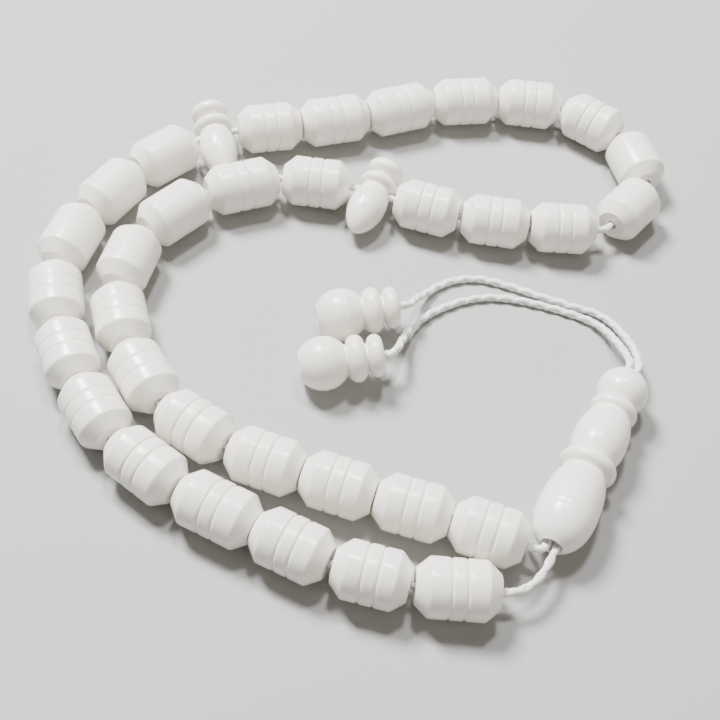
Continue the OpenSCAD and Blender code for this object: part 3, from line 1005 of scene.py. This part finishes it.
class BEADS_OT_markers(bpy.types.Operator):
    """Turn the two marker beads and drill them across for the cord"""

    bl_idname = "prayer_beads.markers"
    bl_label = "Marker Beads"

    def execute(self, context):
        sizes = context.scene.bead_turned
        cord = context.scene.bead_cord
        bone = material_once("marker_bone", bone_material)
        point, head = sizes.marker_point, sizes.marker_head
        outline = sampled(marker_radius, -point, head, 96, MARKER_TIP)
        dice = random.Random(7)
        for number, turn_side in ((1, 1), (2, -1)):
            node = f"marker_{number}"
            marker = self.solid(f"turned_{node}", outline, sizes.sides)
            place = Vector(JOINTS[node]["pos_m"])
            along = axis_of(node)
            out = Matrix.Rotation(MARKER_TURN[number - 1], 3, "Z") @ UP.cross(along) * turn_side
            droop = sizes.marker_droop
            direction = out * math.cos(droop) + UP * math.sin(droop)
            shift = [dice.uniform(-MODEL_SHIFT, MODEL_SHIFT) for _ in range(3)]
            remember(marker, shift, 0.05)
            lay(marker, place, direction)
            self.drill(marker, place, along, cord.diameter / 2 + cord.clearance)
            smooth(marker)
            finish_piece(marker, bone, node, "marker_bone", node)
        return {"FINISHED"}

    def solid(self, name, outline, sides):
        """A turned piece with no bore: both ends are closed at their middle."""
        deselect()
        radius, height = outline[0]
        bpy.ops.mesh.primitive_circle_add(
            vertices=sides, radius=radius, location=(0, 0, height), fill_type="TRIFAN")
        piece = bpy.context.active_object
        piece.name = name
        bpy.ops.object.transform_apply(location=True, rotation=True, scale=True)
        bpy.ops.object.mode_set(mode="EDIT")
        bpy.ops.mesh.select_all(action="SELECT")
        for next_radius, next_height in outline[1:]:
            bpy.ops.mesh.extrude_region_move(
                TRANSFORM_OT_translate={"value": (0, 0, next_height - height)})
            size = next_radius / radius
            bpy.ops.transform.resize(value=(size, size, 1), center_override=(0, 0, 0))
            radius, height = next_radius, next_height
        bpy.ops.mesh.select_all(action="SELECT")
        bpy.ops.mesh.normals_make_consistent(inside=False)
        bpy.ops.object.mode_set(mode="OBJECT")
        return piece

    def drill(self, piece, place, along, radius):
        deselect()
        bpy.ops.mesh.primitive_cylinder_add(vertices=32, radius=radius, depth=20 * MM)
        drill = bpy.context.active_object
        lay(drill, place, along)
        only(piece)
        cut = piece.modifiers.new("cross_bore", "BOOLEAN")
        cut.operation = "DIFFERENCE"
        cut.solver = "EXACT"
        cut.object = drill
        bpy.ops.object.modifier_apply(modifier=cut.name)
        remove(drill)


class BEADS_OT_leader(bpy.types.Operator):
    """Turn the long leader that both cords run through"""

    bl_idname = "prayer_beads.leader"
    bl_label = "Leader"

    def execute(self, context):
        sizes = context.scene.bead_turned
        cord = context.scene.bead_cord
        bore = cord.diameter + CORD_SIDE_ROOM + cord.clearance
        length = (LEADER_TOP - LEADER_FOOT).length
        outside = sampled(leader_radius, 0, length, 150, bore + LEAST_WALL)
        leader = turned("turned_leader", bored(outside, bore), sizes.sides)
        remember(leader, (31, -12, 5), 0.0, self.stain_and_shade)
        lay(leader, LEADER_FOOT, LEADER_DIR)
        smooth(leader)
        finish_piece(
            leader, material_once("leader_bone", bone_material), "leader", "leader_bone", "leader")
        return {"FINISHED"}

    def stain_and_shade(self, points):
        """Shade is painted at the foot's bore and in the creases between turnings."""
        height = points[:, 2] / MM
        radius = np.hypot(points[:, 0], points[:, 1]) / MM
        painted_shade = 0.9 * ((radius < 2.3) & (height < 2))
        for crease in LEADER_CREASES:
            painted_shade = np.maximum(painted_shade, 0.5 * (np.abs(height - crease) < LINE_REACH))
        return painted_shade


class BEADS_OT_tips(bpy.types.Operator):
    """Turn the two tips that end the tail cords"""

    bl_idname = "prayer_beads.tips"
    bl_label = "Tips"

    def execute(self, context):
        sizes = context.scene.bead_turned
        cord = context.scene.bead_cord
        bone = material_once("tip_bone", bone_material)
        bore = cord.diameter / 2 + cord.clearance
        length = sizes.tip_length
        pocket, floor = TIP_POCKET, length - KNOT_DEPTH - KNOT_ROOM
        outside = sampled(tip_radius, 0, length, 90, bore + LEAST_WALL)
        chamfer = BORE_CHAMFER
        outline = (
            [(bore, chamfer), (bore + chamfer, 0)] + outside
            + [(pocket + chamfer, length), (pocket, length - chamfer), (pocket, floor)]
            + [(bore, floor), (bore, floor / 2)]
        )
        model = turned("tip_model", outline, sizes.sides)
        smooth(model)
        dice = random.Random(11)
        for letter in "ab":
            node = f"tip_{letter}"
            tip = copy_of(model, f"turned_{node}")
            shift = [dice.uniform(-MODEL_SHIFT, MODEL_SHIFT) for _ in range(3)]
            remember(tip, shift, 0.04, self.stain_and_shade)
            lay(tip, Vector(JOINTS[node]["pos_m"]), axis_of(node), dice.uniform(0, 6))
            finish_piece(tip, bone, node, "tip_bone", node)
        remove(model)
        return {"FINISHED"}

    def stain_and_shade(self, points):
        # Shade is painted in the creases on either side of the second ring.
        height = points[:, 2] / MM
        painted_shade = np.zeros(len(points))
        for crease in TIP_CREASES:
            painted_shade = np.maximum(painted_shade, 0.6 * (np.abs(height - crease) < LINE_REACH))
        return painted_shade


class BEADS_PT_panel(bpy.types.Panel):
    """Lists the pieces of the string in the sidebar"""

    bl_idname = "BEADS_PT_panel"
    bl_label = "Prayer Bead String"
    bl_space_type = "VIEW_3D"
    bl_region_type = "UI"
    bl_category = "Prayer Beads"

    def draw(self, context):
        for operator in OPERATORS:
            self.layout.operator(operator.bl_idname)
        for group in SETTINGS:
            box = self.layout.box()
            settings = getattr(context.scene, group)
            for name in settings.bl_rna.properties.keys():
                if name not in ("rna_type", "name"):
                    box.prop(settings, name)


SETTINGS = {
    "bead_bead": BeadSettings,
    "bead_turned": TurnedSettings,
    "bead_cord": CordSettings,
    "bead_bone": BoneSettings,
    "bead_stage": StageSettings,
}
OPERATORS = (
    BEADS_OT_stage,
    BEADS_OT_cords,
    BEADS_OT_counting,
    BEADS_OT_markers,
    BEADS_OT_leader,
    BEADS_OT_tips,
)


def register():
    for name, group in SETTINGS.items():
        bpy.utils.register_class(group)
        setattr(bpy.types.Scene, name, PointerProperty(type=group))
    for operator in OPERATORS:
        bpy.utils.register_class(operator)
    bpy.utils.register_class(BEADS_PT_panel)


def unregister():
    bpy.utils.unregister_class(BEADS_PT_panel)
    for operator in reversed(OPERATORS):
        bpy.utils.unregister_class(operator)
    for name, group in SETTINGS.items():
        delattr(bpy.types.Scene, name)
        bpy.utils.unregister_class(group)


def main():
    register()
    bpy.ops.prayer_beads.stage()
    bpy.ops.prayer_beads.cords()
    bpy.ops.prayer_beads.counting()
    bpy.ops.prayer_beads.markers()
    bpy.ops.prayer_beads.leader()
    bpy.ops.prayer_beads.tips()


if __name__ == "__main__":
    main()
